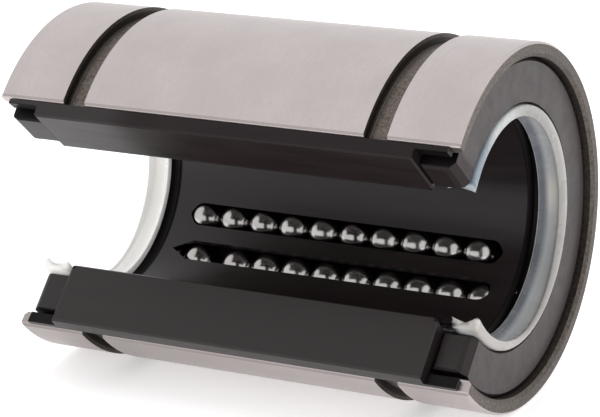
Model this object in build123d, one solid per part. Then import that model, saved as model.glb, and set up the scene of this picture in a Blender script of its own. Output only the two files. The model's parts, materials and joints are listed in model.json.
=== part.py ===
from build123d import *
import math
import os

# Open linear ball bushing for a 20 mm shaft, in millimetres.
# The bore axis is X, +Z is up and the lengthwise opening faces -Y.  The origin is the middle of the bore.
# "Near" pieces are at the +X end and "far" ones at the -X end.  Angles round the bore are measured from
# the middle of the opening, positive towards +Z.

# Standard envelope
SHAFT_R = 10.0
OUTER_R = 16.0
LENGTH = 45.0
GROOVE_SPAN = 31.8          # outer edge to outer edge of the two retaining-ring grooves
GROOVE_W = 2.2
GROOVE_R = 15.15
BALL_R = 1.5875

# Fits
SHAFT_PLAY = 0.0125         # from the shaft to a loaded ball
RACE_PLAY = 0.0625          # from a loaded ball to its raceway
CHANNEL_PLAY = 0.12         # from a ball to the channel round it
TURN_PLAY = 0.18            # the same in the turns
CHANNEL_OVERRUN = 0.4       # past each bend, so that no sliver stands in a ball's way
POLYMER_PLAY = 0.1          # from a moulded piece to the steel round it
CAP_PLAY = 0.05             # from an end cap to the retainer
SEAL_PLAY = 0.02            # from a seal to its end cap
JOIN = 0.5                  # how far one block of a moulded piece runs into the next

# Circuits: each has a load row, a return row and a turn at both ends
LOAD_ANGLE = {"front": 72.0, "rear": 145.7}
RETURN_ANGLE = {"front": 94.5, "rear": 124.2}
LOAD_R = SHAFT_R + SHAFT_PLAY + BALL_R
RETURN_R = 11.95
ROW_BALLS = 10
PITCH = 3.2
LOAD_START_X = -15.2        # first ball of a load row, before any travel
RETURN_END_X = 15.2         # last ball of a return row, before any travel
RAMP_X = 15.0               # where a load channel starts to rise from the raceway
TURN_X = 16.8               # where the turns begin
RAMP_R = 12.2               # ball centre at the top of the ramp
TURN_TILT = 20.0            # how far a turn leans outwards, to clear the bore
TURN_START = {"near": 16.5, "far": 52.5}
TURN_STEP = 90.0            # angle between the two balls of a turn
# How far each circuit stands along its travel at rest
REST_TRAVEL = {
    ("upper", "front"): 0.8,
    ("upper", "rear"): 0.4,
    ("lower", "front"): 1.2,
    ("lower", "rear"): 0.0,
}
LAG_CIRCUIT = ("lower", "rear")
LAG = 1.04                  # a loose first ball in that circuit's return row

# Outer sleeve
RACE_R = LOAD_R + BALL_R + RACE_PLAY
RACE_HALF = 15.3
RELIEF_R = 13.95            # lengthwise relief over the two return rows of each side
RELIEF_ANGLES = (84.0, 134.0)
COUNTERBORE_R = 14.7
COUNTERBORE_X = 15.8
SLEEVE_CUT_ANGLE = 42.2
SLEEVE_CHAMFER = 0.2
SLEEVE_INNER_CHAMFER = 0.3
SLEEVE_EDGE_CHAMFER = 0.25

# Opening
SIDE_ANGLE = 44.4           # between each side face of the opening and the XY plane
MOUTH_HALF = 5.55           # half the opening's width where it meets the retainer's bore

# Retainer
BORE_R = 10.24
BODY_R = RACE_R - POLYMER_PLAY
BODY_X = 18.5
BODY_CHAMFER = 0.35
KEY_R = RELIEF_R - POLYMER_PLAY
KEY_X = 15.2
KEY_GAP_ANGLE = 1.0
RAIL_R = 15.85
RAIL_GAP_ANGLE = 0.3        # from a rail to the sleeve's cut face
RAIL_ANGLE = SLEEVE_CUT_ANGLE - RAIL_GAP_ANGLE
RAIL_START_ANGLE = 10.0      # well inside the opening, which is cut afterwards
TONGUE_R = 14.85
TONGUE_ANGLE = 40.3
TONGUE_X = 21.5
SIDE_FACE_CHAMFER = 0.15
SLOT_W = 2.2
SLOT_HALF = 16.2
SLOT_POINT = 1.9            # length of the pointed end of a return slot
SLOT_START_R = BORE_R - 1.0   # inside the bore, so that the windows cut right through

# End caps
CAP_IN_X = BODY_X + CAP_PLAY
CAP_OUT_X = 21.7
CAP_IN_R = 10.65
CAP_R = COUNTERBORE_R - POLYMER_PLAY
CAP_INSET = {"upper": 0.2, "lower": 1.33}   # from the retainer's side faces back to the cap's
CAP_CHAMFER = 0.3
CUT_FACE_CHAMFER = {"near": 0.25, "far": 0.15}   # the far cap is cut sharper
CUT_FACE_FRONT_CHAMFER = {"near": 0.7, "far": 0.3}
CAP_NOTCH_R = {"near": 14.2, "far": 14.4}   # clearance under the retainer's tongues
CAP_NOTCH_ANGLE = 46.0
SKIRT_X = 16.4
SKIRT_R = BODY_R + CAP_PLAY
SKIRT_ANGLE = 44.0

# Wiper seals
LIP_R = SHAFT_R
SEAL_R = CAP_IN_R - SEAL_PLAY
SEAL_IN_X = 19.3
SEAL_OUT_X = 21.9
LIP_W = 0.45
LIP_RISE = 0.25             # along the bore, from a lip to the hollow beside it
HOLLOW_R = 10.25
FUNNEL_X = 21.45            # where the front lip starts to open outwards
FUNNEL_R = 10.45
SEAL_CHAMFER = 0.3
SEAL_INSET = {"upper": 0.6, "lower": 0.6}

FAR_R = 40.0                # beyond every solid
TOLERANCE = 0.001           # for finding edges and faces of a finished shape
ENDS = {"near": 1, "far": -1}
SIDES = {"upper": 1, "lower": -1}
FLUSH = {"upper": 0.0, "lower": 0.0}


def at_angle(radius, angle):
    """Y and Z of a point of the cross-section."""
    turn = math.radians(angle)
    return (-radius * math.cos(turn), radius * math.sin(turn))


def along_bore(section, low_x, high_x):
    """Extrude a cross-section drawn in Y and Z from low_x to high_x."""
    return extrude(Plane.YZ.offset(low_x) * section, high_x - low_x, dir=(1, 0, 0))


def sector(start, end, low_x, high_x, low_r=0.0, high_r=FAR_R):
    """A piece of a ring between two angles less than 90 degrees apart."""
    wedge = Polygon((0, 0), at_angle(2 * FAR_R, start), at_angle(2 * FAR_R, end), align=None)
    ring = Circle(high_r)
    if low_r > 0:
        ring -= Circle(low_r)
    return along_bore(wedge & ring, low_x, high_x)


def turned(points):
    """A solid of revolution about the bore axis, from points of X and radius."""
    return revolve(Plane.XY * Polygon(*points, align=None), Axis.X)


def opening_cut(insets):
    """The V-shaped space between the side faces, with each face moved back by its inset."""
    slope = math.tan(math.radians(SIDE_ANGLE))
    inner_edge_y = -math.sqrt(BORE_R**2 - MOUTH_HALF**2)
    halves = []
    for side, sign in SIDES.items():
        apex_y = inner_edge_y + MOUTH_HALF / slope + insets[side] / math.sin(math.radians(SIDE_ANGLE))
        corner_z = sign * (FAR_R + apex_y) * slope
        wedge = Polygon((apex_y, 0), (-FAR_R, corner_z), (-FAR_R, 0), align=None)
        halves.append(along_bore(wedge, -LENGTH, LENGTH))
    return halves[0] + halves[1]


def cut_edges(body):
    """The straight edges round the two flat faces that an opening cut leaves."""
    normal_y = math.sin(math.radians(SIDE_ANGLE))
    flats = body.faces().filter_by(GeomType.PLANE)
    cut_faces = flats.filter_by(lambda face: abs(face.normal_at().Y + normal_y) < TOLERANCE)
    return cut_faces.edges().filter_by(GeomType.LINE)


def row_centre(side, station, row):
    """Y and Z of a row's line of ball centres."""
    if row == "load":
        return at_angle(LOAD_R, SIDES[side] * LOAD_ANGLE[station])
    return at_angle(RETURN_R, SIDES[side] * RETURN_ANGLE[station])


def ramp_top(side, station, end):
    """The ball centre where a load row's ramp meets the turn."""
    return Vector(ENDS[end] * TURN_X, *at_angle(RAMP_R, SIDES[side] * LOAD_ANGLE[station]))


def turn_frame(side, station, end):
    """Plane and radius of a turn: local X points at the load row and local Y away from the rows."""
    load = ramp_top(side, station, end)
    back = Vector(ENDS[end] * TURN_X, *row_centre(side, station, "return"))
    centre = (load + back) * 0.5
    across = (load - back).normalized()
    lift = Vector(0, centre.Y, centre.Z)
    lift = (lift - across * lift.dot(across)).normalized()
    tilt = math.radians(TURN_TILT)
    outwards = Vector(ENDS[end], 0, 0) * math.cos(tilt) + lift * math.sin(tilt)
    plane = Plane(origin=centre, x_dir=across, z_dir=across.cross(outwards))
    return plane, (load - back).length / 2


def outer_sleeve():
    groove_out = GROOVE_SPAN / 2
    groove_in = groove_out - GROOVE_W
    half = LENGTH / 2
    near = [
        (RACE_HALF, RACE_R),
        (COUNTERBORE_X, COUNTERBORE_R),
        (half - SLEEVE_INNER_CHAMFER, COUNTERBORE_R),
        (half, COUNTERBORE_R + SLEEVE_INNER_CHAMFER),
        (half, OUTER_R - SLEEVE_CHAMFER),
        (half - SLEEVE_CHAMFER, OUTER_R),
        (groove_out, OUTER_R),
        (groove_out, GROOVE_R),
        (groove_in, GROOVE_R),
        (groove_in, OUTER_R),
    ]
    far = [(-x, r) for x, r in reversed(near)]
    sleeve = turned(near + far)
    for side in SIDES.values():
        start, end = [side * angle for angle in RELIEF_ANGLES]
        sleeve -= sector(start, end, -COUNTERBORE_X, COUNTERBORE_X, high_r=RELIEF_R)
    chamfer_angle = math.degrees(SLEEVE_EDGE_CHAMFER / OUTER_R)
    corner = at_angle(OUTER_R - SLEEVE_EDGE_CHAMFER, SLEEVE_CUT_ANGLE)
    mouth = at_angle(OUTER_R + SLEEVE_EDGE_CHAMFER, SLEEVE_CUT_ANGLE + 2 * chamfer_angle)
    beyond = at_angle(2 * FAR_R, SLEEVE_CUT_ANGLE)
    upper = [corner, mouth, beyond]
    lower = [(y, -z) for y, z in reversed(upper)]
    return sleeve - along_bore(Polygon((0, 0), *upper, *lower, align=None), -LENGTH, LENGTH)


def slot(side, station, row):
    """The window through the retainer's bore that shows a row of balls."""
    flat_end = SLOT_HALF - SLOT_W / 2
    outline = Rectangle(2 * flat_end, SLOT_W)
    outline += Pos(flat_end, 0) * Circle(SLOT_W / 2)
    if row == "load":
        outline += Pos(-flat_end, 0) * Circle(SLOT_W / 2)
    else:
        tip = [(-flat_end, SLOT_W / 2), (-flat_end - SLOT_POINT, 0), (-flat_end, -SLOT_W / 2)]
        outline += Polygon(*tip, align=None)
    centre = Vector(0, *row_centre(side, station, row))
    window = Plane(origin=(0, 0, 0), x_dir=(1, 0, 0), z_dir=centre.normalized()).offset(SLOT_START_R)
    return extrude(window * outline, centre.length - SLOT_START_R, dir=window.z_dir)


def channel(side, station, row):
    """The straight channel round a row of balls."""
    bore = Pos(*row_centre(side, station, row)) * Circle(BALL_R + CHANNEL_PLAY)
    half = RAMP_X if row == "load" else TURN_X
    return along_bore(bore, -half - CHANNEL_OVERRUN, half + CHANNEL_OVERRUN)


def ramp(side, station, end):
    """The sloping channel that lifts balls from the end of a load row to the turn."""
    foot = Vector(ENDS[end] * RAMP_X, *row_centre(side, station, "load"))
    top = ramp_top(side, station, end)
    slope = Plane(origin=foot, z_dir=top - foot)
    length = (top - foot).length + CHANNEL_OVERRUN
    return slope * Cylinder(BALL_R + CHANNEL_PLAY, length, align=(Align.CENTER, Align.CENTER, Align.MIN))


def turn_channel(side, station, end):
    """The half-ring channel of a turn."""
    plane, radius = turn_frame(side, station, end)
    return plane * Torus(radius, BALL_R + TURN_PLAY, major_angle=180, align=None)


def retainer():
    profile = [
        (BODY_X - BODY_CHAMFER, BORE_R),
        (BODY_X, BORE_R + BODY_CHAMFER),
        (BODY_X, BODY_R),
    ]
    body = turned(profile + [(-x, r) for x, r in reversed(profile)])
    for side in SIDES.values():
        key = [side * (RELIEF_ANGLES[0] + KEY_GAP_ANGLE), side * (RELIEF_ANGLES[1] - KEY_GAP_ANGLE)]
        body += sector(*key, -KEY_X, KEY_X, low_r=BODY_R - JOIN, high_r=KEY_R)
        rail = [side * RAIL_START_ANGLE, side * RAIL_ANGLE]
        body += sector(*rail, -BODY_X, BODY_X, low_r=BORE_R + BODY_CHAMFER, high_r=RAIL_R)
        tongue = [side * TONGUE_ANGLE, side * RAIL_ANGLE]
        body += sector(*tongue, -TONGUE_X, TONGUE_X, low_r=TONGUE_R, high_r=RAIL_R)
    body -= opening_cut(FLUSH)
    body = chamfer(cut_edges(body), SIDE_FACE_CHAMFER)
    for side in SIDES:
        for station in LOAD_ANGLE:
            for row in ("load", "return"):
                body -= channel(side, station, row)
                body -= slot(side, station, row)
            for end in ENDS:
                body -= ramp(side, station, end)
                body -= turn_channel(side, station, end)
    return body


def end_cap(end):
    ring = turned([
        (CAP_IN_X, CAP_IN_R),
        (CAP_OUT_X - CAP_CHAMFER, CAP_IN_R),
        (CAP_OUT_X, CAP_IN_R + CAP_CHAMFER / 2),
        (CAP_OUT_X, CAP_R - CAP_CHAMFER),
        (CAP_OUT_X - CAP_CHAMFER, CAP_R),
        (CAP_IN_X, CAP_R),
    ])
    ring -= opening_cut(CAP_INSET)
    for side in SIDES.values():
        notch = [0, side * CAP_NOTCH_ANGLE]
        ring -= sector(*notch, CAP_IN_X, CAP_OUT_X, low_r=CAP_NOTCH_R[end], high_r=OUTER_R)
    front_edges = cut_edges(ring).filter_by_position(Axis.X, CAP_OUT_X - TOLERANCE, CAP_OUT_X + TOLERANCE)
    ring = chamfer(front_edges, CUT_FACE_FRONT_CHAMFER[end])
    ring = chamfer(cut_edges(ring), CUT_FACE_CHAMFER[end])
    skirt_end_x = CAP_IN_X + JOIN
    skirt = turned([(SKIRT_X, SKIRT_R), (SKIRT_X, CAP_R), (skirt_end_x, CAP_R), (skirt_end_x, SKIRT_R)])
    skirt -= sector(-SKIRT_ANGLE, SKIRT_ANGLE, 0, LENGTH)
    cap = ring + skirt
    if end == "far":
        cap = mirror(cap, Plane.YZ)
    for side in SIDES:
        for station in LOAD_ANGLE:
            cap -= turn_channel(side, station, end)
            cap -= ramp(side, station, end)
            cap -= channel(side, station, "return")
    return cap


def wiper_seal(end):
    """A double-lip wiper: two lands at the shaft with a hollow between them."""
    ring = turned([
        (SEAL_IN_X, LIP_R),
        (SEAL_IN_X + LIP_W, LIP_R),
        (SEAL_IN_X + LIP_W + LIP_RISE, HOLLOW_R),
        (FUNNEL_X - LIP_W - LIP_RISE, HOLLOW_R),
        (FUNNEL_X - LIP_W, LIP_R),
        (FUNNEL_X, LIP_R),
        (SEAL_OUT_X, FUNNEL_R),
        (SEAL_OUT_X, SEAL_R),
        (SEAL_IN_X + SEAL_CHAMFER, SEAL_R),
        (SEAL_IN_X, SEAL_R - SEAL_CHAMFER),
    ])
    ring -= opening_cut(SEAL_INSET)
    return ring if end == "near" else mirror(ring, Plane.YZ)


def row_balls(side, station, row):
    """The ten balls in the straight part of a load or return row."""
    carried = REST_TRAVEL[side, station]
    if row == "load":
        places = [LOAD_START_X + carried + PITCH * i for i in range(ROW_BALLS)]
    else:
        places = [RETURN_END_X - carried - PITCH * i for i in range(ROW_BALLS)]
        if (side, station) == LAG_CIRCUIT:
            places[-1] -= LAG
    centre = row_centre(side, station, row)
    return [Pos(x, *centre) * Sphere(BALL_R) for x in places]


def turn_balls(side, station, end):
    """The two balls in a turn."""
    plane, radius = turn_frame(side, station, end)
    carried = ENDS[end] * REST_TRAVEL[side, station] / radius
    balls = []
    for step in (0, TURN_STEP):
        angle = math.radians(TURN_START[end] + step) + carried
        place = plane.from_local_coords(Vector(radius * math.cos(angle), radius * math.sin(angle), 0))
        balls.append(Pos(place) * Sphere(BALL_R))
    return balls


def write(name, solids):
    shape = solids[0] if len(solids) == 1 else Compound(children=solids)
    shape.label = name
    export_step(shape, f"parts/{name}.step")


os.makedirs("parts", exist_ok=True)
write("outer_sleeve", [outer_sleeve()])
write("retainer", [retainer()])
for end in ENDS:
    write(f"end_cap_{end}", [end_cap(end)])
    write(f"wiper_seal_{end}", [wiper_seal(end)])
for side in SIDES:
    for station in LOAD_ANGLE:
        for row in ("load", "return"):
            write(f"{side}_{station}_{row}_balls", row_balls(side, station, row))
        for end in ENDS:
            write(f"{side}_{station}_{end}_turn_balls", turn_balls(side, station, end))
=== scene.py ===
import json
import math

import bmesh
import bpy
from mathutils import Matrix, Vector


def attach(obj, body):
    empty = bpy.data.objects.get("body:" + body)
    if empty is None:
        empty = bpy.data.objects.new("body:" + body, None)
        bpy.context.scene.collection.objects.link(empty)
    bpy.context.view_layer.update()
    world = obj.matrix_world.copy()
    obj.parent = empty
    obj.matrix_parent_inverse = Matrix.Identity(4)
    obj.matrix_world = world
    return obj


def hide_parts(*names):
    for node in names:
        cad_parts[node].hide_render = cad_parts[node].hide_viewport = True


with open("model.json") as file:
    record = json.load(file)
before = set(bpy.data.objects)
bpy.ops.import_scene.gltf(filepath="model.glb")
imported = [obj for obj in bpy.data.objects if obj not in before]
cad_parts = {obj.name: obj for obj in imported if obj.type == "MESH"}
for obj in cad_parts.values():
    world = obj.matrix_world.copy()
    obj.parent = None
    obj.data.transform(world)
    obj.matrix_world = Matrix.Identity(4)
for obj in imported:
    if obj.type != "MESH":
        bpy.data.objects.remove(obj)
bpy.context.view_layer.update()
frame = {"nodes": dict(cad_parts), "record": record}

# The frame is in metres: X along the bore, Z up, the lengthwise opening facing -Y.
MM = 0.001
NODES = frame["nodes"]
MOUNTS = {mount["name"]: mount for mount in frame["record"]["mounts"]}

OUTER_R = MOUNTS["housing_seat"]["dims"]["r_mm"]
FLOOR_Z = -OUTER_R * MM
ENDS = {"near": 1, "far": -1}
SLEEVE_CUT = math.radians(42.2)
GROOVE_FEET = (-15.9, 13.7)  # the far walls of the two ring grooves

# Camera, set to the view from the opening side and a little above
CAMERA_AIM = Vector((0.52, 0.02, -0.74)) * MM
CAMERA_AZIMUTH = math.radians(30.203)
CAMERA_ELEVATION = math.radians(18.185)
CAMERA_ROLL = math.radians(-3.041)
CAMERA_DISTANCE = 240.13 * MM
CAMERA_LENS = 161.75
CLIP_NEAR = 0.01            # as shares of the camera's distance
CLIP_FAR = 100

# Light
TENT_LIGHT = 1.08
SLIT_LIGHT = 0.03
SLIT_AZIMUTH = math.radians(24)
SLIT_HALF_WIDTH = 0.21      # as the sine of an angle
SLIT_SOFT = 0.04
SLIT_FRONT = (0.3, 0.6)     # keeps the slit on the front of the tent
FLOOR_GLOW = 0.45
FLOOR_DARK = 0.95
FLOOR_LIGHT = 0.97
FLOOR_HALF_SIZE = 3.0       # in metres

# In the tables below places are in millimetres, angles are in radians from the middle of the opening, and
# each pair is where a change between two looks starts and ends.

# Sleeve
INSIDE_R = (15.6, 15.7)     # from the groove bottoms, bore and ends to the ground outside
GROOVE_X = (18.0, 18.2)     # grooves lie inboard of it and the sleeve's end faces outboard
END_FACE = (0.8, 0.95)      # how squarely a surface faces along the bore
CUT_SOFT = (0.004, 0.008)   # half-width of the strip along the sleeve's cut edge
CUT_EDGE = (0.015, 0.018)   # width of the chamfer beside that strip
CUT_EDGE_R = (15.7, 15.75)
SHADE_Z = (-8.0, -4.0)      # the underside, shaded from the light
SHADE_X = (-22.0, 15.0)
LIT_FRONT_Y = (-12.0, 8.0)       # painted light: the oxide is painted lighter at the front than at the back
FOOT_DARK_WIDTH = (0.3, 0.55)   # a darker band round the far foot of each groove
FOOT_HIGHLIGHT = (0.24, 0.34)    # a painted highlight: the bright line beside the dark band
SATIN_DARK = (0.505, 0.452, 0.447, 1)
SATIN_LIGHT = (0.56, 0.505, 0.50, 1)
GRIND_COLOUR = (0.46, 0.41, 0.405, 1)
GRAIN_COLOUR = (0.46, 0.425, 0.43, 1)
SHADE_COLOUR = (0.31, 0.275, 0.265, 1)
OXIDE_DARK = (0.105, 0.087, 0.077, 1)
OXIDE_LIGHT = (0.21, 0.182, 0.164, 1)
OXIDE_SHADE = (0.02, 0.017, 0.015, 1)
GROOVE_WALL_SHADE = (0.058, 0.051, 0.043, 1)
FOOT_DARK_COLOUR = (0.030, 0.026, 0.022, 1)
FOOT_HIGHLIGHT_COLOUR = (0.34, 0.31, 0.29, 1)
CUT_EDGE_COLOUR = (0.26, 0.23, 0.225, 1)

# Retainer and end caps
POLYMER_TINT = (1.45, 1.0, 1.05)
LIP_X = (18.0, 18.1)        # the lips round the two ends of the bore, painted black as shade
LIP_R = (10.65, 10.7)
TONGUE_X = (18.52, 18.6)    # the tongues over the end caps, painted black beneath as shade
TONGUE_UNDER_R = (14.88, 14.92)
TONGUE_SIDE = (0.706, 0.709)
TONGUE_R = (14.1, 14.15)
TONGUE_ANGLE = (0.78, 0.8)
UNDER_ANGLE = (0.74, 0.8)   # the underside of the upper rail, away from the far end, where the reflection is turned down as shade
UNDER_Z = (2.0, 4.0)
UNDER_R = (10.5, 10.8)
UNDER_X = (-13.0, -7.0)
LIP_SHADE = 0.003
SPECULAR_OPEN = 0.36
SPECULAR_SHADED = 0.13

# Balls
BALL_DARK = (0.44, 0.42, 0.41, 1)
BALL_LIGHT = (0.52, 0.50, 0.49, 1)

# Seals: the front lip's flange is painted with light and shade that change from the front round to the back,
# along Y, and at the bottom
FLANGE_COLOURS = (
    ((-6.5, -3.0), (0.44, 0.46, 0.46, 1)),
    ((-1.0, 2.0), (0.32, 0.31, 0.30, 1)),
    ((4.0, 9.0), (0.46, 0.445, 0.42, 1)),
)
FLANGE_FRONT = (0.14, 0.195, 0.25, 1)
FLANGE_LOW_Z = (-4.0, 0.0)
FLANGE_LOW = (0.43, 0.405, 0.385, 1)
FLANGE_SHADE_Y = (0.0, 3.0)
FLANGE_SHADE_R = (9.8, 10.5)
FLANGE_SHADE = (0.16, 0.16, 0.165, 1)
FLANGE_X = (20.7, 21.4)
HOLLOW_X = (19.7, 20.3)
HOLLOW_STREAK_Z = 1.5
HOLLOW_GREY = (0.54, 0.55, 0.565, 1)
HOLLOW_LIT = (0.80, 0.77, 0.72, 1)
REAR_Z = (-6.0, 0.0)
REAR_SHADE_LOW = (0.08, 0.095, 0.115, 1)
REAR_SHADE_HIGH = (0.11, 0.12, 0.15, 1)
FRONT_EDGE_R = (9.62, 9.68)
FRONT_EDGE_X = (21.0, 21.3)
FRONT_EDGE_Y = (-2.0, 1.0)
REAR_EDGE_R = (9.80, 9.83)
REAR_EDGE_X = (19.40, 19.44)
CUT_RIM = (0.1, 0.3)        # from a cut face
EDGE_Z = (-2.0, 2.0)
EDGE_HIGHLIGHT_LOW = (0.55, 0.52, 0.49, 1)
EDGE_HIGHLIGHT_HIGH = (0.50, 0.53, 0.55, 1)
HAZE_COLOUR = (0.6, 0.6, 0.6, 1)
FAR_X = (-1.0, 1.0)
FAR_LIT = (0.88, 0.865, 0.84, 1)
FAR_GLOW_COLOUR = (1.0, 0.985, 0.96, 1)
FAR_GLOW = 0.15


class Nodes:
    """A node tree, built one node at a time."""

    def __init__(self, tree):
        self.tree = tree

    def put(self, socket, value):
        if isinstance(value, bpy.types.NodeSocket):
            self.tree.links.new(value, socket)
        else:
            socket.default_value = value

    def vector(self, operation, a, b=None, scale=None):
        node = self.tree.nodes.new("ShaderNodeVectorMath")
        node.operation = operation
        self.put(node.inputs[0], a)
        if b is not None:
            self.put(node.inputs[1], b)
        if scale is not None:
            self.put(node.inputs["Scale"], scale)
        return node.outputs[0]

    def math(self, operation, a, b=None, c=None, clamp=False):
        node = self.tree.nodes.new("ShaderNodeMath")
        node.operation = operation
        node.use_clamp = clamp
        for socket, value in zip(node.inputs, (a, b, c)):
            if value is not None:
                self.put(socket, value)
        return node.outputs[0]

    def add(self, a, b):
        return self.math("ADD", a, b)

    def times(self, a, b):
        return self.math("MULTIPLY", a, b)

    def split(self, vector):
        node = self.tree.nodes.new("ShaderNodeSeparateXYZ")
        self.put(node.inputs[0], vector)
        return node.outputs

    def join(self, x, y, z):
        node = self.tree.nodes.new("ShaderNodeCombineXYZ")
        for socket, value in zip(node.inputs, (x, y, z)):
            self.put(socket, value)
        return node.outputs[0]

    def step(self, value, low, high, out_low=0.0, out_high=1.0):
        """A smooth step from out_low to out_high as value goes from low to high."""
        node = self.tree.nodes.new("ShaderNodeMapRange")
        node.interpolation_type = "SMOOTHSTEP"
        limits = {"From Min": low, "From Max": high, "To Min": out_low, "To Max": out_high}
        for name, number in limits.items():
            node.inputs[name].default_value = number
        self.put(node.inputs["Value"], value)
        return node.outputs["Result"]

    def band(self, value, low, high, soft):
        """1 where value lies between low and high, fading over soft at both ends."""
        rise = self.step(value, low - soft, low + soft)
        fall = self.step(value, high - soft, high + soft, 1.0, 0.0)
        return self.times(rise, fall)

    def mix(self, factor, a, b):
        node = self.tree.nodes.new("ShaderNodeMix")
        node.data_type = "RGBA"
        self.put(node.inputs[0], factor)
        self.put(node.inputs[6], a)
        self.put(node.inputs[7], b)
        return node.outputs[2]


class Shader(Nodes):
    """A material's nodes. Places are in millimetres in the part's frame."""

    def __init__(self, name):
        self.material = bpy.data.materials.new(name)
        self.material.use_nodes = True
        super().__init__(self.material.node_tree)
        self.surface = self.tree.nodes["Principled BSDF"]
        place = self.tree.nodes.new("ShaderNodeTexCoord").outputs["Object"]
        self.place = self.vector("SCALE", place, scale=1 / MM)
        self.x, self.y, self.z = self.split(self.place)
        self.radius = self.math("SQRT", self.add(self.times(self.y, self.y), self.times(self.z, self.z)))
        self.turn = self.math("ARCTAN2", self.z, self.y)
        away = self.math("MULTIPLY", self.y, -1.0)
        self.opening_angle = self.math("ARCTAN2", self.math("ABSOLUTE", self.z), away)
        self.along = self.math("ABSOLUTE", self.x)

    def noise(self, scale, detail=4.0, vector=None, roughness=0.55):
        node = self.tree.nodes.new("ShaderNodeTexNoise")
        self.put(node.inputs["Vector"], self.place if vector is None else vector)
        node.inputs["Scale"].default_value = scale
        node.inputs["Detail"].default_value = detail
        node.inputs["Roughness"].default_value = roughness
        return node.outputs["Fac"]

    def spots(self, scale, size, vector=None):
        """Small round marks, 1 at their middles."""
        node = self.tree.nodes.new("ShaderNodeTexVoronoi")
        self.put(node.inputs["Vector"], self.place if vector is None else vector)
        node.inputs["Scale"].default_value = scale
        return self.step(node.outputs["Distance"], 0.0, size, 1.0, 0.0)

    def normal_x(self):
        """How squarely the surface faces an end of the part."""
        geometry = self.tree.nodes.new("ShaderNodeNewGeometry")
        to_object = self.tree.nodes.new("ShaderNodeVectorTransform")
        to_object.vector_type = "NORMAL"
        to_object.convert_from = "WORLD"
        to_object.convert_to = "OBJECT"
        self.put(to_object.inputs[0], geometry.outputs["True Normal"])
        return self.math("ABSOLUTE", self.split(to_object.outputs[0])[0])

    def bump(self, height, strength, distance=0.05, normal=None):
        node = self.tree.nodes.new("ShaderNodeBump")
        node.inputs["Strength"].default_value = strength
        node.inputs["Distance"].default_value = distance * MM
        self.put(node.inputs["Height"], height)
        if normal is not None:
            self.put(node.inputs["Normal"], normal)
        return node.outputs["Normal"]

    def finish(self, **sockets):
        for name, value in sockets.items():
            self.put(self.surface.inputs[name.replace("_", " ")], value)
        return self.material


# The seals' cross-section in millimetres, X and radius, from the rim round the front lip, the hollow and the
# rear lip, with how far each point stands proud of the lower cut and its share of the front lip's bending
SEAL_PROFILE = (
    (19.60, 10.62, 0.0, 0.0), (20.80, 10.62, 0.0, 0.0), (21.70, 10.62, 0.1, 0.0), (21.86, 10.50, 0.5, 0.0),
    (21.82, 10.10, 1.0, 0.4), (21.76, 9.80, 0.6, 0.7), (21.70, 9.54, 0.1, 1.0), (21.54, 9.52, 0.1, 1.0),
    (21.44, 9.80, 0.4, 0.7), (21.30, 10.08, 0.6, 0.4), (21.00, 10.26, -0.1, 0.0), (20.50, 10.34, -0.3, 0.0),
    (20.00, 10.28, -0.3, 0.0), (19.70, 10.02, -0.1, 0.0), (19.46, 9.76, 0.15, 0.0), (19.32, 9.76, 0.2, 0.0),
    (19.25, 10.02, -0.2, 0.0), (19.32, 10.36, -0.4, 0.0),
)
SEAL_LEAN = 0.2             # how far the front lip leans out at the opening, and in opposite it
SEAL_TUCK = 0.6             # how far the front lip is pressed back at the bottom
SEAL_TUCK_ANGLE = math.radians(250)
SEAL_TUCK_REACH = math.radians(35)
SEAL_RAGGEDNESS = {"near": 1.0, "far": 0.3}
SEAL_CUT_SLOPE = math.radians(44.4)
SEAL_CUT_Y = -2.08          # where the planes of the two cuts meet
SEAL_STEPS = 120
SEAL_SMOOTHING = 2


def grey(value):
    return (value, value, value, 1.0)


def polymer(value):
    return (*(value * tint for tint in POLYMER_TINT), 1.0)


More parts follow.
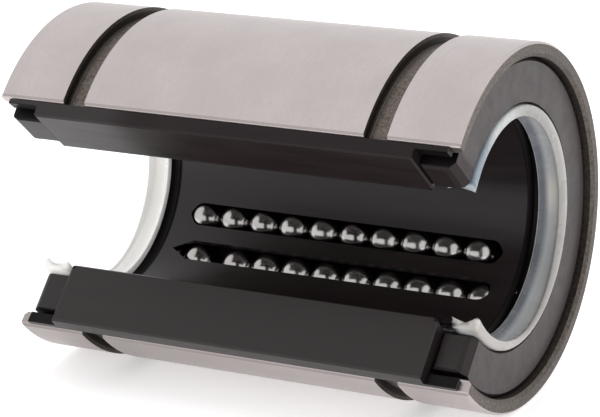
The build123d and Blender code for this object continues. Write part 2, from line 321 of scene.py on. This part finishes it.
def ground_steel():
    """Fine-ground bearing steel, brown with oxide in the grooves and on the ends."""
    s = Shader("ground_steel_fine")
    lines = s.noise(1.0, 5.0, s.join(s.times(s.x, 16.0), s.times(s.turn, 5.0), 0.0), 0.7)
    clouds = s.noise(0.22, 4.0)
    grain = s.noise(3.6, 3.0, roughness=0.7)
    satin = s.mix(s.step(clouds, 0.3, 0.7), SATIN_DARK, SATIN_LIGHT)
    satin = s.mix(s.step(lines, 0.35, 0.75, 0.0, 0.5), satin, GRIND_COLOUR)
    satin = s.mix(s.step(grain, 0.35, 0.65, 0.0, 0.35), satin, GRAIN_COLOUR)
    low = s.times(s.step(s.z, *SHADE_Z, 1.0, 0.0), s.step(s.x, *SHADE_X, 0.75, 0.2))
    satin = s.mix(low, satin, SHADE_COLOUR)
    end_face = s.step(s.normal_x(), *END_FACE)
    from_cut = s.math("ABSOLUTE", s.math("SUBTRACT", s.opening_angle, SLEEVE_CUT))
    off_cut = s.step(from_cut, *CUT_SOFT)
    inside = s.times(s.step(s.radius, *INSIDE_R, 1.0, 0.0), off_cut)
    groove = s.times(inside, s.step(s.along, *GROOVE_X, 1.0, 0.0))
    oxide_amount = s.math("MAXIMUM", end_face, inside)
    # Painted light and shade: the sleeve's end faces are lighter at the front and darker at the back.
    painted_light = s.times(s.step(s.y, *LIT_FRONT_Y, 0.9, 0.66), s.step(groove, 0.0, 1.0, 1.0, 2.6))
    oxide = s.mix(s.step(grain, 0.3, 0.7), OXIDE_DARK, OXIDE_LIGHT)
    oxide = s.mix(painted_light, OXIDE_SHADE, oxide)
    colour = s.mix(oxide_amount, satin, oxide)
    # Painted shade on the walls of the ring grooves.
    colour = s.mix(s.times(end_face, groove), colour, GROOVE_WALL_SHADE)
    from_foot = [s.math("ABSOLUTE", s.math("SUBTRACT", s.x, foot)) for foot in GROOVE_FEET]
    from_foot = s.math("MINIMUM", *from_foot)
    # A darker band along the far foot of each groove.
    foot_dark = s.times(groove, s.step(from_foot, *FOOT_DARK_WIDTH, 0.4, 0.0))
    colour = s.mix(foot_dark, colour, FOOT_DARK_COLOUR)
    # Painted highlight: a thin bright line beside the dark band at each groove's foot.
    foot_highlight = s.times(groove, s.band(from_foot, *FOOT_HIGHLIGHT, 0.02))
    colour = s.mix(s.times(foot_highlight, 0.65), colour, FOOT_HIGHLIGHT_COLOUR)
    edge_limits = [SLEEVE_CUT + width for width in CUT_EDGE]
    edge = s.times(s.step(s.opening_angle, *edge_limits, 1.0, 0.0), off_cut)
    edge = s.times(edge, s.step(s.radius, *CUT_EDGE_R))
    colour = s.mix(s.times(edge, 0.8), colour, CUT_EDGE_COLOUR)
    rough = s.add(s.step(lines, 0.2, 0.8, 0.30, 0.42), s.times(oxide_amount, 0.12))
    height = s.add(s.times(lines, 0.6), s.times(grain, 0.6))
    return s.finish(
        Base_Color=colour, Metallic=1.0, Roughness=rough, Normal=s.bump(height, 0.15, 0.02)
    )


def moulded(name, base, end_base, rough_low, rough_high):
    """Moulded acetal: faint flow marks along the part, a fine moulded texture and a few scuffs."""
    s = Shader(name)
    flow = s.noise(1.0, 4.0, s.join(s.times(s.x, 0.12), s.times(s.y, 0.8), s.times(s.z, 0.8)))
    texture = s.noise(5.0, 3.0)
    specks = s.times(s.spots(1.4, 0.045), s.step(s.noise(0.5), 0.5, 0.65))
    colour = s.mix(s.step(flow, 0.3, 0.7), polymer(base), polymer(base * 1.3))
    colour = s.mix(s.times(specks, 0.5), colour, polymer(base * 5))
    face = s.mix(s.step(texture, 0.3, 0.7), polymer(end_base * 0.8), polymer(end_base * 1.2))
    colour = s.mix(s.step(s.normal_x(), *END_FACE), colour, face)
    lip = s.times(s.step(s.along, *LIP_X), s.step(s.radius, *LIP_R, 1.0, 0.0))
    beneath = s.step(s.radius, *TONGUE_UNDER_R, 1.0, 0.0)
    beside = s.step(s.opening_angle, *TONGUE_SIDE, 1.0, 0.0)
    tongue = s.times(s.step(s.along, *TONGUE_X), s.math("MAXIMUM", beneath, beside))
    notch = s.times(s.step(s.radius, *TONGUE_R), s.step(s.opening_angle, *TONGUE_ANGLE, 1.0, 0.0))
    tongue = s.times(tongue, notch)
    lip = s.math("MAXIMUM", lip, tongue)
    # Painted shade: the lips round the bore's ends and the undersides of the tongues are painted near black.
    colour = s.mix(lip, colour, polymer(LIP_SHADE))
    under = s.times(s.step(s.opening_angle, *UNDER_ANGLE, 1.0, 0.0), s.step(s.z, *UNDER_Z))
    under = s.times(under, s.times(s.step(s.radius, *UNDER_R), s.step(s.x, *UNDER_X)))
    shaded = s.math("MAXIMUM", lip, under)
    specular = s.step(shaded, 0.0, 1.0, SPECULAR_OPEN, SPECULAR_SHADED)
    s.put(s.surface.inputs["Specular IOR Level"], specular)
    rough = s.add(s.step(flow, 0.3, 0.7, rough_low, rough_high), s.times(texture, 0.06))
    height = s.add(s.times(texture, 0.6), s.times(flow, 0.8))
    return s.finish(Base_Color=colour, Roughness=rough, Normal=s.bump(height, 0.14, 0.03))


def ball_steel():
    """Polished bearing steel with a trace of grease."""
    s = Shader("ball_steel_polished")
    film = s.noise(0.8, 3.0)
    fine = s.noise(12.0, 2.0)
    colour = s.mix(s.step(film, 0.35, 0.7), BALL_DARK, BALL_LIGHT)
    rough = s.add(s.step(film, 0.3, 0.7, 0.15, 0.22), s.times(fine, 0.03))
    return s.finish(Base_Color=colour, Metallic=1.0, Roughness=rough, Normal=s.bump(fine, 0.03, 0.01))


def seal_rubber():
    """Milky elastomer with a gloss, painted with light and shade: grey at the rear lip, bluish down the
    front one, with pale painted highlights at its edges and the far seal painted whiter and glowing.
    """
    s = Shader("seal_milky")
    haze = s.noise(0.35, 3.0)
    fine = s.noise(5.0, 3.0)
    # Painted light and shade: the flange is dark and bluish at the front, lighter round the sides, back and
    # bottom.
    flange = FLANGE_FRONT
    for limits, following in FLANGE_COLOURS:
        flange = s.mix(s.step(s.y, *limits), flange, following)
    flange = s.mix(s.step(s.z, *FLANGE_LOW_Z, 1.0, 0.0), flange, FLANGE_LOW)
    shaded = s.times(s.step(s.y, *FLANGE_SHADE_Y), s.step(s.radius, *FLANGE_SHADE_R, 0.35, 0.0))
    flange = s.mix(shaded, flange, FLANGE_SHADE)
    # Painted light: a pale streak across the hollow at mid-height.
    lit_streak = s.band(s.z, -HOLLOW_STREAK_Z, HOLLOW_STREAK_Z, HOLLOW_STREAK_Z)
    hollow = s.mix(lit_streak, HOLLOW_GREY, HOLLOW_LIT)
    # Painted shade: the rear lip is dark grey-blue, darker lower down.
    rear = s.mix(s.step(s.z, *REAR_Z), REAR_SHADE_LOW, REAR_SHADE_HIGH)
    colour = s.mix(s.step(s.along, *HOLLOW_X), rear, hollow)
    colour = s.mix(s.step(s.along, *FLANGE_X), colour, flange)
    cut_side = s.times(s.math("ABSOLUTE", s.z), math.cos(SEAL_CUT_SLOPE))
    cut_front = s.times(s.add(s.y, -SEAL_CUT_Y), math.sin(SEAL_CUT_SLOPE))
    from_cut = s.add(cut_side, cut_front)
    # Painted highlights: the lip edges and the rims of the cuts are pale.
    front_edge = s.times(s.step(s.radius, *FRONT_EDGE_R, 1.0, 0.0), s.step(s.along, *FRONT_EDGE_X))
    front_edge = s.times(front_edge, s.step(s.y, *FRONT_EDGE_Y, 1.0, 0.0))
    rear_edge = s.times(s.step(s.radius, *REAR_EDGE_R, 1.0, 0.0), s.step(s.along, *REAR_EDGE_X, 1.0, 0.0))
    lip_highlight = s.math("MAXIMUM", front_edge, rear_edge)
    edge = s.math("MAXIMUM", s.step(from_cut, *CUT_RIM, 1.0, 0.0), lip_highlight)
    edge_highlight_colour = s.mix(s.step(s.z, *EDGE_Z), EDGE_HIGHLIGHT_LOW, EDGE_HIGHLIGHT_HIGH)
    colour = s.mix(s.times(edge, 0.8), colour, edge_highlight_colour)
    colour = s.mix(s.step(haze, 0.3, 0.7, 0.0, 0.12), colour, HAZE_COLOUR)
    # Painted light: the far seal is whiter and glows, as if lit from behind.
    far = s.step(s.x, *FAR_X, 1.0, 0.0)
    colour = s.mix(far, colour, FAR_LIT)
    s.put(s.surface.inputs["Emission Color"], FAR_GLOW_COLOUR)
    s.put(s.surface.inputs["Emission Strength"], s.times(far, FAR_GLOW))
    rough = s.add(s.step(haze, 0.3, 0.7, 0.2, 0.3), s.times(fine, 0.05))
    s.surface.inputs["Subsurface Weight"].default_value = 0.3
    s.surface.inputs["Subsurface Radius"].default_value = (1.0, 1.0, 1.0)
    s.surface.inputs["Subsurface Scale"].default_value = 0.3 * MM
    return s.finish(Base_Color=colour, Roughness=rough, Normal=s.bump(fine, 0.2, 0.03))


def paint(node, material):
    """Give a CAD node a material without touching its mesh."""
    slots = NODES[node].material_slots
    if not slots:
        NODES[node].data.materials.append(material)
    for slot in slots:
        slot.link = "OBJECT"
        slot.material = material


def paint_nodes():
    paint("outer_sleeve", ground_steel())
    retainer = moulded("retainer_acetal", base=0.011, end_base=0.011, rough_low=0.26, rough_high=0.36)
    paint("retainer", retainer)
    cap = moulded("end_cap_acetal", base=0.011, end_base=0.025, rough_low=0.32, rough_high=0.42)
    seal = seal_rubber()
    balls = ball_steel()
    for end in ENDS:
        paint(f"end_cap_{end}", cap)
        paint(f"wiper_seal_{end}", seal)
        wiper_seal(end, seal)
    for name in NODES:
        if name.endswith("_balls"):
            paint(name, balls)


def seal_cut_angle(radius):
    """The angle from the middle of the opening at which a seal is cut, at a radius."""
    slope = math.tan(SEAL_CUT_SLOPE)
    # The cut's height is slope * (distance + SEAL_CUT_Y), and height and distance lie on the circle.
    a = 1 + slope**2
    b = 2 * slope**2 * SEAL_CUT_Y
    c = (slope * SEAL_CUT_Y)**2 - radius**2
    distance = (-b + math.sqrt(b**2 - 4 * a * c)) / (2 * a)
    return math.atan2(slope * (distance + SEAL_CUT_Y), distance)


def wiper_seal(end, material):
    """A seal with its two lips, swept round the bore and left ragged where it was cut."""
    shape = bmesh.new()
    crease = shape.verts.layers.float.new("crease_vert")
    rings = []
    for step in range(SEAL_STEPS + 1):
        part = step / SEAL_STEPS
        ring = []
        for x, radius, ragged, bend in SEAL_PROFILE:
            upper = seal_cut_angle(radius)
            lower = 2 * math.pi - upper + SEAL_RAGGEDNESS[end] * ragged / radius
            angle = upper + part * (lower - upper)
            x += bend * SEAL_LEAN * math.cos(angle)
            radius += bend * SEAL_TUCK * math.exp(-(((angle - SEAL_TUCK_ANGLE) / SEAL_TUCK_REACH) ** 2))
            spot = (ENDS[end] * x * MM, -radius * math.cos(angle) * MM, radius * math.sin(angle) * MM)
            ring.append(shape.verts.new(spot))
        rings.append(ring)
    for ring, following in zip(rings, rings[1:]):
        for i in range(len(ring)):
            j = (i + 1) % len(ring)
            shape.faces.new((ring[i], ring[j], following[j], following[i]))
    for ring in (rings[0], rings[-1]):
        shape.faces.new(ring)
        for vertex in ring:
            vertex[crease] = 1.0
    bmesh.ops.recalc_face_normals(shape, faces=shape.faces)
    for face in shape.faces:
        face.smooth = True
    mesh = bpy.data.meshes.new(f"seal_{end}")
    shape.to_mesh(mesh)
    shape.free()
    mesh.materials.append(material)
    seal = bpy.data.objects.new(f"seal_{end}", mesh)
    bpy.context.scene.collection.objects.link(seal)
    smooth = seal.modifiers.new("smooth", "SUBSURF")
    smooth.levels = SEAL_SMOOTHING
    smooth.render_levels = SEAL_SMOOTHING
    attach(seal, "bushing")
    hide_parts(f"wiper_seal_{end}")


def floor():
    mesh = bpy.data.meshes.new("floor")
    shape = bmesh.new()
    bmesh.ops.create_grid(shape, x_segments=1, y_segments=1, size=FLOOR_HALF_SIZE)
    shape.to_mesh(mesh)
    shape.free()
    plane = bpy.data.objects.new("floor", mesh)
    plane.location.z = FLOOR_Z
    bpy.context.scene.collection.objects.link(plane)
    s = Shader("floor_paper")
    shade = s.noise(0.02, 3.0)
    colour = s.mix(shade, grey(FLOOR_DARK), grey(FLOOR_LIGHT))
    s.surface.inputs["Emission Strength"].default_value = FLOOR_GLOW
    s.surface.inputs["Emission Color"].default_value = grey(1.0)
    mesh.materials.append(s.finish(Base_Color=colour, Roughness=0.8))


def studio():
    """A white tent with a tall dark slit in its front, which the balls mirror."""
    world = bpy.data.worlds.new("studio_tent")
    world.use_nodes = True
    s = Nodes(world.node_tree)
    background = s.tree.nodes["Background"]
    direction = s.tree.nodes.new("ShaderNodeTexCoord").outputs["Generated"]
    x, y, z = s.split(direction)
    sine, cosine = math.sin(SLIT_AZIMUTH), math.cos(SLIT_AZIMUTH)
    across = s.add(s.times(x, cosine), s.times(y, sine))
    forward = s.add(s.times(x, sine), s.times(y, -cosine))
    slit = s.band(across, -SLIT_HALF_WIDTH, SLIT_HALF_WIDTH, SLIT_SOFT)
    slit = s.times(slit, s.step(forward, *SLIT_FRONT))
    s.put(background.inputs["Strength"], s.step(slit, 0.0, 1.0, TENT_LIGHT, SLIT_LIGHT))
    background.inputs["Color"].default_value = (1.0, 1.0, 1.0, 1.0)
    bpy.context.scene.world = world


def camera():
    data = bpy.data.cameras.new("camera")
    data.lens = CAMERA_LENS
    data.clip_start = CAMERA_DISTANCE * CLIP_NEAR
    data.clip_end = CAMERA_DISTANCE * CLIP_FAR
    back = Vector((
        math.sin(CAMERA_AZIMUTH) * math.cos(CAMERA_ELEVATION),
        -math.cos(CAMERA_AZIMUTH) * math.cos(CAMERA_ELEVATION),
        math.sin(CAMERA_ELEVATION),
    ))
    view = (-back).to_track_quat("-Z", "Y").to_matrix() @ Matrix.Rotation(CAMERA_ROLL, 3, "Z")
    eye = bpy.data.objects.new("camera", data)
    eye.matrix_world = Matrix.Translation(CAMERA_AIM + back * CAMERA_DISTANCE) @ view.to_4x4()
    bpy.context.scene.collection.objects.link(eye)
    bpy.context.scene.camera = eye


bpy.context.scene.view_settings.view_transform = "Standard"
camera()
floor()
studio()
paint_nodes()
